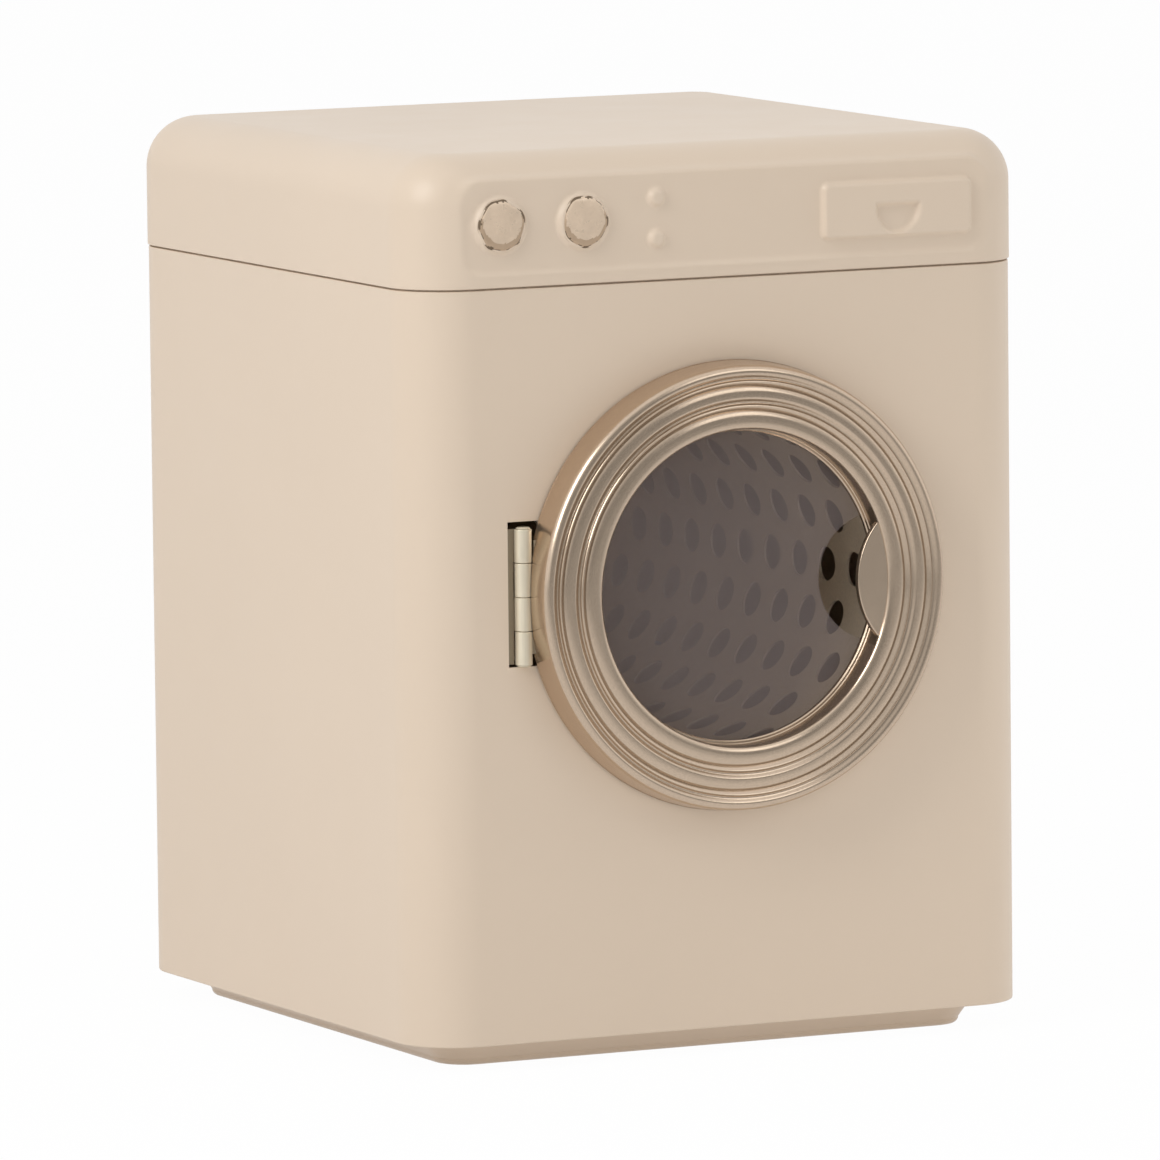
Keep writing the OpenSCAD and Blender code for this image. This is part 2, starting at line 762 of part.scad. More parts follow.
// Rolled perforated sheet with a turned-out front rim; every second row is set half a pitch on
module drum_shell() {
    color(drum_tin)
        difference() {
            along_depth(drum_front_y)
                rotate_extrude() {
                    translate([drum_r, rim_r])
                        square([drum_t, drum_l - rim_r]);
                    translate([drum_r + rim_r, rim_r])
                        circle(rim_r, $fn = 24);
                }
            along_depth(drum_front_y + first_hole)
                for (row = [-floor(hole_rows / 2):ceil(hole_rows / 2) - 1], i = [0:holes_in_row - 1])
                    rotate([0, 0, -drum_row_angle - 360 * row / hole_rows])
                        translate([drum_r + drum_t / 2, 0, (i + abs(row) % 2 / 2) * hole_pitch])
                            rotate([0, 90, 0])
                                cylinder(r = hole_r, h = 4 * drum_t, center = true, $fn = 32);
        }
}

// Pressed disc in the drum's rear end
module drum_back() {
    color(drum_tin)
        difference() {
            along_depth(drum_back_y - back_flange)
                cylinder(r = drum_r - fit, h = back_flange);
            along_depth(drum_back_y - back_flange - over)
                cylinder(r = drum_r - fit - back_t, h = back_flange - back_t + over);
            along_depth(drum_back_y - back_t - over)
                cylinder(r = hub_r + fit, h = back_t + 2 * over);
        }
}

// Flanged hub that carries the drum's back and turns on the spindle
module drum_hub() {
    color(nylon)
        difference() {
            union() {
                along_depth(hub_front_y)
                    cylinder(r = flange_r, h = washer_t);
                along_depth(hub_front_y)
                    cylinder(r = hub_r, h = hub_l);
            }
            along_depth(hub_front_y - over)
                cylinder(r = spindle_r + spindle_clear, h = hub_l + 2 * over);
        }
}

// Shouldered spindle riveted to the rear panel
module drum_spindle() {
    color(steel) {
        along_depth(spindle_front_y)
            cylinder(r = spindle_r, h = rear_panel_y + sheet_t - spindle_front_y);
        along_depth(rear_panel_y - shoulder_l)
            cylinder(r = head_r, h = shoulder_l);
        along_depth(rear_panel_y + sheet_t)
            cylinder(r = head_r, h = head_t);
    }
}

module rear_washer() {
    color(nylon)
        tube(rear_washer_y, washer_t, flange_r, spindle_r + fit);
}

module front_washer() {
    color(nylon)
        tube(front_washer_y, washer_t, flange_r - 0.4, spindle_r + fit);
}

// Blind cap pushed onto the spindle's front end
module spindle_cap() {
    color(pale_metal)
        difference() {
            along_depth(front_washer_y - cap_l)
                cylinder(r = hub_r, h = cap_l);
            along_depth(spindle_front_y)
                cylinder(r = spindle_r, h = cap_l);
        }
}

cabinet_shell();
rear_panel();
rear_panel_rivets();
top_cover();
base_tray();
program_dial_foil();
temperature_dial_foil();
door_ring();
door_window();
window_retainer();
door_magnet();
hinge_cabinet_leaf();
hinge_door_leaf();
hinge_pin();
door_leaf_screws();
drum_shell();
drum_back();
drum_hub();
drum_spindle();
rear_washer();
front_washer();
spindle_cap();
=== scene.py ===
# Looks of a toy washing machine in painted tinplate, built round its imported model.
# Lengths are in millimetres, in the frame's axes, until new_object() turns them into metres.

import math

import bmesh
import bpy
from mathutils import Matrix, Vector, noise


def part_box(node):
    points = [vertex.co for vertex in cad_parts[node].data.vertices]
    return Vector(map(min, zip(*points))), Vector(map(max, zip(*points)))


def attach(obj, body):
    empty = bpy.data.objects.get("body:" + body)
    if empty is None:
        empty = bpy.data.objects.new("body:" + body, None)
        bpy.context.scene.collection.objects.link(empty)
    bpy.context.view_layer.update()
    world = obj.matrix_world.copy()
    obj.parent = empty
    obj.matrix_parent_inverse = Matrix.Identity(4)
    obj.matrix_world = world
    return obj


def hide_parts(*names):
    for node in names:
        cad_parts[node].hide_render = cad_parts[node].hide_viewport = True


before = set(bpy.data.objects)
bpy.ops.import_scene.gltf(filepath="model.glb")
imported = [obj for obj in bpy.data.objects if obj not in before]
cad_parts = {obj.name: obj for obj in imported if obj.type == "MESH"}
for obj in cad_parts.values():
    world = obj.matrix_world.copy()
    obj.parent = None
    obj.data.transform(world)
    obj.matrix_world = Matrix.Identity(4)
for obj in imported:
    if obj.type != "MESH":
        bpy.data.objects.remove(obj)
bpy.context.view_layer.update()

MM = 0.001
IMAGE_SIZE = 1160


def box_mm(node):
    """Lowest and highest corner of a node, in millimetres."""
    low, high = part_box(node)
    return low / MM, high / MM


# Places taken from the imported model's boxes
shell_low, shell_high = box_mm("cabinet_shell")
cover_low, cover_high = box_mm("top_cover")
ring_low, ring_high = box_mm("door_ring")
pane_low, pane_high = box_mm("door_window")
pin_low, pin_high = box_mm("hinge_pin")
cabinet_leaf_end = box_mm("hinge_cabinet_leaf")[0].x
door_leaf_end = box_mm("hinge_door_leaf")[1].x
magnet_low, magnet_high = box_mm("door_magnet")
drum_low, drum_high = box_mm("drum_shell")
foil_boxes = {n: box_mm(n) for n in ("program_dial_foil", "temperature_dial_foil")}

# Cabinet
cabinet_w = shell_high.x - shell_low.x
cabinet_d = shell_high.y - shell_low.y
front_y = shell_low.y
sheet_t = 0.5
corner_r = 8.3
hem_r = 0.25
shoulder_edge_r = 0.15
rear_flange_w = 6.0
collar_h = 4.0
body_bottom = shell_low.z
shoulder_z = shell_high.z - collar_h + sheet_t
door_z = (ring_low.z + ring_high.z) / 2
opening_r = 25.0
opening_collar = 2.2
porthole_steps = 160
# Room round the hinge in the front: left of the barrel, right of it, below and above
slot_left = 0.95
slot_right = 1.2
slot_below = 0.25
slot_above = 0.9

# Cover
cover_w = cover_high.x - cover_low.x
cover_d = cabinet_d + cover_w - cabinet_w
cover_corner_r = corner_r + (cover_w - cabinet_w) / 2
cover_round = 6.8
cover_front = -cover_d / 2
seam_z = cover_low.z
top_z = cover_high.z
field_half = (38.5, 6.5)
field_z = seam_z + 8.1
field_corner = 3.0
field_setback = 0.16
field_edge_h = 0.1
field_edge_w = 0.45
dial_z = field_z
dial_places = (-32.9, -20.9)
dial_r = 3.6
dial_h = 0.55
dial_edge_w = 0.4
dot_x = -10.2
dot_rise = 2.7
dot_r = 1.4
dot_h = 0.55
drawer_x = 25.05
drawer_z = field_z - 0.35
drawer_half = (11.05, 3.75)
drawer_corner = 0.9
drawer_out = 0.6
pull_r = 3.35
pull_rise = 0.85
pull_depth = 0.85

# Door
ring_r = (ring_high.z - ring_low.z) / 2
ring_rear = ring_high.y
ring_t = ring_high.y - ring_low.y
ring_front_r = ring_r - 0.4
ring_hole_r = 20.9
# Radii on the face, from the middle outwards: crests of the bands, and the deep and the shallow
# groove between each two of them
band_crests = (ring_hole_r + 1.05, ring_front_r - 4.15, ring_front_r - 0.95)
deep_grooves = (ring_front_r - 5.85, ring_front_r - 2.65)
shallow_grooves = (ring_front_r - 4.93, ring_front_r - 1.8)
deep_h = ring_t - 0.52
shallow_h = ring_t - 0.42
lip_drop = 0.75
outer_drop = 1.2
ledge_r = ring_hole_r - 0.5
ledge_t = 0.8
window_r = (pane_high.z - pane_low.z) / 2
window_t = pane_high.y - pane_low.y
notch_r = 8.4
notch_x = 21.1
tab_r = 11.3
tab_x = 27.9
tab_t = 1.0
tab_front = ring_t - 0.55

# Hinge
pin_x = (pin_low.x + pin_high.x) / 2
pin_y = (pin_low.y + pin_high.y) / 2
barrel_r = 1.15
leaf_t = 0.4
leaf_clear = 0.12
leaf_pocket_fit = 0.05
barrel_end_fit = 0.25
magnet_fit = 0.05
door_leaf_in = 1.5
screw_head_t = 0.3
door_leaf_y = ring_rear - screw_head_t - leaf_t
hinge_low = pin_low.z + 0.2
hinge_high = pin_high.z - 0.2
knuckle_n = 4
knuckle_gap = 0.1
relief = 0.1

# Drum
drum_r = 23.0
drum_t = 0.3
drum_mid_r = drum_r + drum_t / 2
hole_r = 2.35
hole_pitch = 8.06
hole_rows = 21
holes_in_row = 9
first_hole = 5.6
row_angle = -0.4
rim_r = 0.6

# Camera, fitted to the photo's edges
cam_yaw = math.radians(26.057)
cam_pitch = math.radians(6.512)
cam_roll = math.radians(-0.595)
cam_distance = 1682.29
cam_shift_x = -0.234
cam_shift_z = 57.772
focal_px = 12451.6
sensor_mm = 36.0

# Colours, linear
CREAM = (0.755, 0.62, 0.487)
CREAM_DEEP = (0.735, 0.60, 0.468)
CHAMPAGNE = (0.60, 0.475, 0.36)
HINGE = (0.82, 0.74, 0.58)
# The hinge metal darkened: painted shade for the leaf plates in the shadow of the slot
HINGE_PAINTED_SHADE = (0.33, 0.27, 0.19)
FOIL = (0.52, 0.38, 0.26)
FOIL_PALE = (0.86, 0.68, 0.51)
SMOKE = (0.34, 0.28, 0.27)
DRUM = (0.78, 0.65, 0.50)
ZINC = (0.62, 0.61, 0.58)
NYLON = (0.80, 0.78, 0.72)
DARK_EDGE = (0.17, 0.12, 0.075)


def smoothstep(low, high, v):
    t = min(1.0, max(0.0, (v - low) / (high - low)))
    return t * t * (3 - 2 * t)


def ellipse_arc(centre, wide, high, start, end, steps=14):
    """Points on an ellipse about centre, from start to end in degrees."""
    return [
        (centre[0] + wide * math.cos(math.radians(start + (end - start) * i / steps)),
         centre[1] + high * math.sin(math.radians(start + (end - start) * i / steps)))
        for i in range(steps + 1)
    ]


def arc(centre, r, start, end, steps):
    """Points on a circle about centre, from start to end in degrees."""
    return ellipse_arc(centre, r, r, start, end, steps)


def rounded_box_distance(x, z, half, r):
    """Signed distance to a rectangle with round corners, negative inside."""
    qx, qz = abs(x) - half[0] + r, abs(z) - half[1] + r
    return math.hypot(max(qx, 0), max(qz, 0)) + min(max(qx, qz), 0) - r


# Materials


def new_material(name, base, metallic=0.0, roughness=0.4, **sockets):
    """A plain material, its node tree and its shader; further sockets are set by name."""
    mat = bpy.data.materials.new(name)
    mat.use_nodes = True
    bsdf = mat.node_tree.nodes["Principled BSDF"]
    bsdf.inputs["Base Color"].default_value = (*base, 1)
    bsdf.inputs["Metallic"].default_value = metallic
    bsdf.inputs["Roughness"].default_value = roughness
    for socket, value in sockets.items():
        bsdf.inputs[socket.replace("_", " ")].default_value = value
    return mat, mat.node_tree, bsdf


def add_noise(tree, scale, detail=3.0, stretch=(1, 1, 1)):
    """Noise in the object's own coordinates; scale counts features along a metre."""
    coords = tree.nodes.new("ShaderNodeTexCoord")
    mapping = tree.nodes.new("ShaderNodeMapping")
    mapping.inputs["Scale"].default_value = stretch
    tex = tree.nodes.new("ShaderNodeTexNoise")
    tex.inputs["Scale"].default_value = scale
    tex.inputs["Detail"].default_value = detail
    tree.links.new(coords.outputs["Object"], mapping.inputs["Vector"])
    tree.links.new(mapping.outputs["Vector"], tex.inputs["Vector"])
    return tex.outputs["Fac"]


def add_colour_mix(tree, bsdf, factor, low, high):
    """Blends the base colour from low to high by a factor such as noise."""
    mix = tree.nodes.new("ShaderNodeMix")
    mix.data_type = "RGBA"
    mix.inputs["A"].default_value = (*low, 1)
    mix.inputs["B"].default_value = (*high, 1)
    tree.links.new(factor, mix.inputs["Factor"])
    tree.links.new(mix.outputs["Result"], bsdf.inputs["Base Color"])


def add_range(tree, value, low, high, socket):
    """Sends a noise value to a socket, its usual span stretched to low..high."""
    to_range = tree.nodes.new("ShaderNodeMapRange")
    to_range.inputs["From Min"].default_value = 0.3
    to_range.inputs["From Max"].default_value = 0.7
    to_range.inputs["To Min"].default_value = low
    to_range.inputs["To Max"].default_value = high
    tree.links.new(value, to_range.inputs["Value"])
    tree.links.new(to_range.outputs["Result"], socket)


def add_bump(tree, bsdf, height, distance, strength=1.0, below=None):
    """A bump of that depth in millimetres, on top of the one below."""
    bump = tree.nodes.new("ShaderNodeBump")
    bump.inputs["Strength"].default_value = strength
    bump.inputs["Distance"].default_value = distance * MM
    tree.links.new(height, bump.inputs["Height"])
    if below is not None:
        tree.links.new(below, bump.inputs["Normal"])
    tree.links.new(bump.outputs["Normal"], bsdf.inputs["Normal"])
    return bump.outputs["Normal"]


def shade(colour, factor):
    """The colour made darker or lighter."""
    return tuple(c * factor for c in colour)


def paint_material(name, base):
    """Satin enamel on tinplate: slow waves of the sheet, fine orange peel, faint unevenness."""
    mat, tree, bsdf = new_material(name, base, roughness=0.4)
    add_colour_mix(tree, bsdf, add_noise(tree, 26, 4), shade(base, 0.975), shade(base, 1.02))
    add_range(tree, add_noise(tree, 120, 3), 0.38, 0.43, bsdf.inputs["Roughness"])
    waves = add_bump(tree, bsdf, add_noise(tree, 24, 1), 0.16)
    add_bump(tree, bsdf, add_noise(tree, 700, 2), 0.003, below=waves)
    return mat


def metal_coat_material(name, base, roughness=0.2, metallic=0.9, grain=4200):
    """Metallic coat with fine flake: colour, gloss and bump vary from grain to grain."""
    mat, tree, bsdf = new_material(name, base, metallic, roughness)
    add_colour_mix(tree, bsdf, add_noise(tree, grain, 2), shade(base, 0.88), shade(base, 1.12))
    add_range(tree, add_noise(tree, 300, 3), roughness - 0.04, roughness + 0.05,
              bsdf.inputs["Roughness"])
    add_bump(tree, bsdf, add_noise(tree, grain / 2, 2), 0.002)
    return mat


def brushed_material(name, base, roughness=0.35, metallic=0.85, stretch=(1, 1, 0.03)):
    """Drawn metal: fine lines along one axis."""
    mat, tree, bsdf = new_material(name, base, metallic, roughness)
    lines = add_noise(tree, 5000, 3, stretch)
    add_colour_mix(tree, bsdf, lines, shade(base, 0.9), shade(base, 1.08))
    add_range(tree, lines, roughness - 0.05, roughness + 0.07, bsdf.inputs["Roughness"])
    add_bump(tree, bsdf, lines, 0.004)
    return mat


def foil_material():
    """Crumpled foil in pale champagne, with blotches of painted shade standing for the shading of its
    crumples.
    """
    mat, tree, bsdf = new_material("champagne_foil", FOIL, 0.15, 0.3)
    add_colour_mix(tree, bsdf, add_noise(tree, 420, 3), shade(FOIL_PALE, 0.72), FOIL_PALE)
    add_range(tree, add_noise(tree, 900, 3), 0.24, 0.4, bsdf.inputs["Roughness"])
    add_bump(tree, bsdf, add_noise(tree, 900, 2), 0.1)
    return mat


def window_material():
    """Smoke-tinted pane, slightly hazed, that lets the drum show."""
    mat, tree, bsdf = new_material("smoke_pane", SMOKE, roughness=0.1, Alpha=0.22)
    bsdf.inputs["IOR"].default_value = 1.49
    add_colour_mix(tree, bsdf, add_noise(tree, 60, 2), shade(SMOKE, 0.95), shade(SMOKE, 1.05))
    add_range(tree, add_noise(tree, 300, 2), 0.08, 0.14, bsdf.inputs["Roughness"])
    return mat


def nylon_material():
    """Moulded nylon, slightly translucent."""
    mat, tree, bsdf = new_material("natural_nylon", NYLON, roughness=0.5)
    bsdf.inputs["Subsurface Weight"].default_value = 0.1
    bsdf.inputs["Subsurface Scale"].default_value = MM
    add_colour_mix(tree, bsdf, add_noise(tree, 700, 3), shade(NYLON, 0.95), shade(NYLON, 1.04))
    add_bump(tree, bsdf, add_noise(tree, 2500, 2), 0.01)
    return mat


cream_paint = paint_material("cream_paint", CREAM)
cream_base = paint_material("cream_paint_base", CREAM_DEEP)
champagne = metal_coat_material("champagne_coat", CHAMPAGNE)
drum_metal = metal_coat_material("drum_lacquer", DRUM, 0.42, 0.2, 2500)
hinge_metal = brushed_material("hinge_metal", HINGE, 0.36, 0.4, (1, 1, 0.04))
# A darker copy of the hinge metal, painted shade for the plates in the slot
hinge_painted_shade = brushed_material("hinge_painted_shade", HINGE_PAINTED_SHADE, 0.5, 0.3, (1, 1, 0.04))
zinc = brushed_material("zinc_plate", ZINC, 0.3, 1.0, (1, 0.05, 1))
gold_foil = foil_material()
# Darker foil: painted shade on the foil's rim, wider on its lower side
foil_painted_shade = metal_coat_material("foil_painted_shade", FOIL, 0.4, 0.3, 900)
foil_edge = metal_coat_material("foil_edge", DARK_EDGE, 0.5, 0.4, 900)
smoke_pane = window_material()
nylon = nylon_material()


# Meshes


def new_object(name, verts, faces):
    """A mesh object from vertices in millimetres, with its faces turned outwards."""
    mesh = bpy.data.meshes.new(name)
    mesh.from_pydata([Vector(v) * MM for v in verts], [], faces)
    bm = bmesh.new()
    bm.from_mesh(mesh)
    bmesh.ops.recalc_face_normals(bm, faces=bm.faces)
    bm.to_mesh(mesh)
    bm.free()
    obj = bpy.data.objects.new(name, mesh)
    bpy.context.scene.collection.objects.link(obj)
    return obj


def mesh_piece(name, verts, faces, body, slot, material, sharp=35, replaces=()):
    """A piece of the machine: smooth but for edges sharper than sharp degrees."""
    obj = new_object(name, verts, faces)
    obj.data.materials.append(material)
    smooth_by_angle(obj, sharp)
    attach(obj, body)
    if replaces:
        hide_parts(*replaces)
    return obj


def smooth_by_angle(obj, sharp):
    """Shades smooth, with the edges sharper than sharp degrees left sharp."""
    limit = math.radians(sharp)
    mesh = obj.data
    bm = bmesh.new()
    bm.from_mesh(mesh)
    for face in bm.faces:
        face.smooth = True
    for edge in bm.edges:
        edge.smooth = len(edge.link_faces) == 2 and edge.calc_face_angle(0) < limit
    bm.to_mesh(mesh)
    bm.free()


def keep_flats(obj):
    """Lets large flat faces keep their own normal."""
    weighted = obj.modifiers.new("flats", "WEIGHTED_NORMAL")
    weighted.keep_sharp = True
    weighted.weight = 100


def apply_modifiers(obj):
    """Turns the piece into its final mesh."""
    graph = bpy.context.evaluated_depsgraph_get()
    mesh = bpy.data.meshes.new_from_object(obj.evaluated_get(graph))
    obj.modifiers.clear()
    obj.data = mesh


def cut(obj, *cutters):
    """Takes closed cutters out of a piece."""
    for cutter in cutters:
        boolean = obj.modifiers.new("cut", "BOOLEAN")
        boolean.operation = "DIFFERENCE"
        boolean.solver = "EXACT"
        boolean.object = cutter
    apply_modifiers(obj)
    for cutter in cutters:
        bpy.data.objects.remove(cutter)


def edge_bevel(obj, width, segments=2, angle=40):
    """Rounds the edges sharper than angle by width millimetres."""
    bevel = obj.modifiers.new("edges", "BEVEL")
    bevel.width = width * MM
    bevel.segments = segments
    bevel.limit_method = "ANGLE"
    bevel.angle_limit = math.radians(angle)
    bevel.harden_normals = False


def merge_same(verts, faces):
    """Joins vertices that lie in one place, and drops what collapses."""
    index, kept, new = {}, [], []
    for v in verts:
        key = tuple(round(c, 4) for c in v)
        if key not in index:
            index[key] = len(kept)
            kept.append(v)
        new.append(index[key])
    merged = []
    for f in faces:
        loop = [new[i] for i in f]
        loop = [v for i, v in enumerate(loop) if v != loop[i - 1]]
        if len(loop) > 2:
            merged.append(loop)
    return kept, merged


def prism(outline, low, high, place):
    """Vertices and faces of an outline carried from low to high; place(a, b, h) gives the point."""
    n = len(outline)
    verts = [place(a, b, low) for a, b in outline] + [place(a, b, high) for a, b in outline]
    faces = [list(range(n)), list(range(n, 2 * n))]
    faces += [[i, (i + 1) % n, n + (i + 1) % n, n + i] for i in range(n)]
    return verts, faces


def new_cutter(outline, low, high, place):
    """A prism for cut() to take out of a piece."""
    return new_object("cutter", *prism(outline, low, high, place))


def along_z(a, b, h):
    """Point of an upright prism, whose outline is seen from above."""
    return (a, b, h)


def on_door(a, b, h):
    """Point a right and b up from the door's middle, h in front of the ring's rear."""
    return (a, ring_rear - h, door_z + b)


def box_outline(x0, x1, y0, y1):
    return [(x0, y0), (x1, y0), (x1, y1), (x0, y1)]


def quads(runs, n, loops=0, start=0, closed=True):
    """Faces between loops of n vertices and the next loops. With loops given, the last run goes
    back to the first loop, and open loops have no face from their last vertex to the first."""
    loops = loops or runs + 1
    across = n if closed else n - 1
    return [
        [start + i * n + j, start + i * n + (j + 1) % n,
         start + (i + 1) % loops * n + (j + 1) % n, start + (i + 1) % loops * n + j]
        for i in range(runs) for j in range(across)
    ]


def lathe(profile, steps, place):
    """A closed profile in (radius, height), turned a full circle; place(a, b, h) gives the point."""
    verts = []
    for i in range(steps):
        a = 2 * math.pi * i / steps
        verts += [place(r * math.cos(a), r * math.sin(a), h) for r, h in profile]
    return verts, quads(steps, len(profile), loops=steps)


def corner_stations(w, d, r, steps, front_xs=()):
    """Stations round a rounded rectangle, from the middle of the back, as (x, y, nx, ny).
    A section point (u, z) lies u out from the station along its normal."""
    cx, cy = w / 2 - r, d / 2 - r
    stations = []
    corners = ((cx, cy, 90), (cx, -cy, 0), (-cx, -cy, -90), (-cx, cy, -180))
    for i, (x, y, start) in enumerate(corners):
        for j in range(steps + 1):
            a = math.radians(start - 90 * j / steps)
            stations.append((x, y, math.cos(a), math.sin(a)))
        if i == 1:
            stations += [(fx, -cy, 0.0, -1.0) for fx in front_xs]
    return stations


def sweep(section, stations, closed):
    """Carries a closed section in (u, z) round the stations."""
    n, m = len(section), len(stations)
    verts = [(x + nx * u, y + ny * u, z) for x, y, nx, ny in stations for u, z in section]
    faces = quads(m if closed else m - 1, n, loops=m)
    if not closed:
        faces += [list(range(n)), list(range((m - 1) * n, m * n))]
    return verts, faces


# Cabinet


def make_shell():
    """Front, sides and rear flanges in one wrapped sheet, with rolled edges and an inset collar."""
    r, t = corner_r, sheet_t
    inner = r - 2 * t - 0.05
    top = shell_high.z
    section = [(r - t, body_bottom + hem_r)]
    section += arc((r - hem_r, body_bottom + hem_r), hem_r, 180, 360, 8)
    section += arc((r - shoulder_edge_r, shoulder_z - shoulder_edge_r), shoulder_edge_r, 0, 90, 6)
    section += [(inner + t + 0.1, shoulder_z), (inner + t, shoulder_z + 0.1), (inner + t, top - 0.1),
                (inner + t - 0.1, top), (inner, top), (inner, shoulder_z - t), (r - t, shoulder_z - t)]
    stations = corner_stations(cabinet_w, cabinet_d, r, 20)
    first, last = stations[0], stations[-1]
    stations = [(first[0] - rear_flange_w, *first[1:])] + stations
    stations = stations + [(last[0] + rear_flange_w, *last[1:])]
    verts, faces = sweep(section, stations, closed=False)
    shell = mesh_piece("cabinet_body", verts, faces, "cabinet", "cream_paint", cream_paint,
                       replaces=["cabinet_shell"])
    porthole = arc((0, 0), opening_r, 0, 360, porthole_steps)[:-1]
    slot = box_outline(pin_x - barrel_r - slot_left, pin_x + barrel_r + slot_right,
                       hinge_low - slot_below - door_z, hinge_high + slot_above - door_z)
    cut(shell, new_cutter(porthole, -3.0, 3.0, on_door), new_cutter(slot, -3.0, 3.0, on_door))
    edge_bevel(shell, 0.06, 2, 60)
    smooth_by_angle(shell, 35)
    keep_flats(shell)
    return shell


def make_opening_collar():
    """The sheet turned inwards round the porthole."""
    r, t, deep = opening_r, sheet_t, opening_collar
    back = front_y + deep
    profile = [(r, front_y + 0.05), (r, back - 0.15), (r + 0.15, back), (r + t - 0.1, back),
               (r + t, back - 0.1), (r + t, front_y + t - 0.02)]
    verts, faces = lathe(profile, porthole_steps, lambda a, b, y: (a, y, door_z + b))
    return mesh_piece("porthole_collar", verts, faces, "cabinet", "cream_paint", cream_paint)


# Cover


def field_shape(x, z, setback):
    """How far behind the cover's front plane the pressed surface lies, in millimetres."""
    field = rounded_box_distance(x, z - field_z, field_half, field_corner)
    inside = 1 - smoothstep(-0.75, 0.25, field)
    out = setback * (1 - inside) + field_setback * inside
    out -= field_edge_h * math.exp(-((field - 0.1) / field_edge_w) ** 2)
    for place in dial_places:
        away = math.hypot(x - place, z - dial_z)
        out -= (dial_h + field_setback) * (1 - smoothstep(dial_r - dial_edge_w, dial_r + dial_edge_w, away))
    for side in (-1, 1):
        away = math.hypot(x - dot_x, z - field_z - side * dot_rise) / dot_r
        out -= (dot_h + field_setback) * (1 - smoothstep(0.45, 1.1, away))
    drawer = rounded_box_distance(x - drawer_x, z - drawer_z, drawer_half, drawer_corner)
    out -= (drawer_out + field_setback) * (1 - smoothstep(-0.4, 0.15, drawer))
    px, pz = x - drawer_x, z - drawer_z
    pull = max(math.hypot(px, min(pz, 0.0)) - pull_r, abs(px) - pull_r, pz - pull_rise)
    scoop = 0.75 + 0.25 * min(1.0, max(-1.0, pz / pull_r + 0.6))
    out += pull_depth * scoop * (1 - smoothstep(-0.7, 0.1, pull))
    return out


def make_cover():
    """The pressed cap, with its framed field, bosses, dots and drawer front in the same sheet."""
    r, t, rt = cover_corner_r, sheet_t, cover_round
    spring_z = top_z - rt
    fine = 0.22
    wall_rows = int((spring_z - seam_z - 0.3) / fine)
    edge = 0.12
    outer = arc((r - edge, seam_z + edge), edge, 270, 360, 4)
    outer += [(r, seam_z + edge + (spring_z - seam_z - edge) * (i + 1) / wall_rows)
              for i in range(wall_rows)]
    outer += arc((r - rt, spring_z), rt, 0, 90, 44)[1:]
    outer += [(u * (r - rt) / 2, top_z) for u in (1, 0)]
    inner = [(0, top_z - t), (r - rt, top_z - t)]
    inner += arc((r - rt, spring_z), rt - t, 90, 0, 10)[1:]
    inner += [(r - t, seam_z + edge), (r - t + 0.1, seam_z)]
    cx = cover_w / 2 - r
    count = int(2 * cx / fine)
    front_xs = [cx - 2 * cx * (i + 1) / count for i in range(count - 1)]
    stations = corner_stations(cover_w, cover_d, r, 24, front_xs)
    section = outer + inner
    verts, faces = sweep(section, stations, closed=True)
    n, outer_n = len(section), len(outer)
    # The sweep's ends on the roof meet along the straight lines between corner centres
    top_loop = [i * n + outer_n - 1 for i in range(len(stations))]
    low_loop = [i * n + outer_n for i in range(len(stations))]
    faces = [f for f in faces if not (f[0] % n == outer_n - 1 and f[1] % n == outer_n)]
    faces += [top_loop, low_loop[::-1]]
    pressed = []
    for i, (x, y, z) in enumerate(verts):
        if i % n < outer_n and y < cover_front + 4 and abs(x) < field_half[0] + 3 and z > seam_z + 0.3:
            y = cover_front + field_shape(x, z, y - cover_front)
        pressed.append((x, y, z))
    verts, faces = merge_same(pressed, faces)
    cover = mesh_piece("pressed_cover", verts, faces, "cabinet", "cream_paint", cream_paint,
                       sharp=50, replaces=["top_cover"])
    keep_flats(cover)
    return cover


def make_foil(name, piece, seed):
    """A ragged disc of crumpled foil, pressed over the boss."""
    low, high = foil_boxes[name]
    cx, cz = (low.x + high.x) / 2, (low.z + high.z) / 2
    foil_r = (high.x - low.x) / 2
    base_y = cover_front - dial_h
    rings, spokes = 22, 72
    edge_w, painted_shade_w = 0.14, 0.55
    verts = []
    for i in range(rings + 1):
        for j in range(spokes):
            a = 2 * math.pi * j / spokes
            share = i / rings
            ragged = noise.noise(Vector((math.cos(a) * 1.6, math.sin(a) * 1.6, seed)))
            radius = share * (foil_r + 0.1 + 0.35 * ragged)
            x, z = cx + radius * math.cos(a), cz + radius * math.sin(a)
            crumple = noise.noise(Vector((x * 0.9, z * 0.9, seed * 3.7)))
            crumple += 0.6 * abs(noise.noise(Vector((x * 2.2, z * 2.2, seed + 9))))
            height = 0.1 + 0.05 * crumple + 0.3 * (1 - share ** 2.5)
            height -= 0.25 * smoothstep(0.85, 1.0, share)
            verts.append((x, base_y - height, z))
    back = len(verts)
    verts += [(x, base_y + 0.1, z) for x, _, z in verts[rings * spokes:]]
    faces = quads(rings + 1, spokes)
    faces.append([back + j for j in range(spokes)])
    verts, faces = merge_same(verts, faces)
    foil = mesh_piece(piece, verts, faces, "cabinet", "gold_foil", gold_foil, 60, [name])
    foil.data.materials.append(foil_painted_shade)
    foil.data.materials.append(foil_edge)
    # Faces at the ragged rim take the dark edge; faces near it, more of them towards the bottom, take
    # painted shade for the dome turning from the light
    for face in foil.data.polygons:
        dx, dz = face.center.x / MM - cx, face.center.z / MM - cz
        away = math.hypot(dx, dz) + 0.25 * noise.noise(face.center / MM * 1.3)
        if away > foil_r - edge_w:
            face.material_index = 2
        elif away - 0.2 * dz > foil_r - painted_shade_w:
            face.material_index = 1
    return foil


# Door


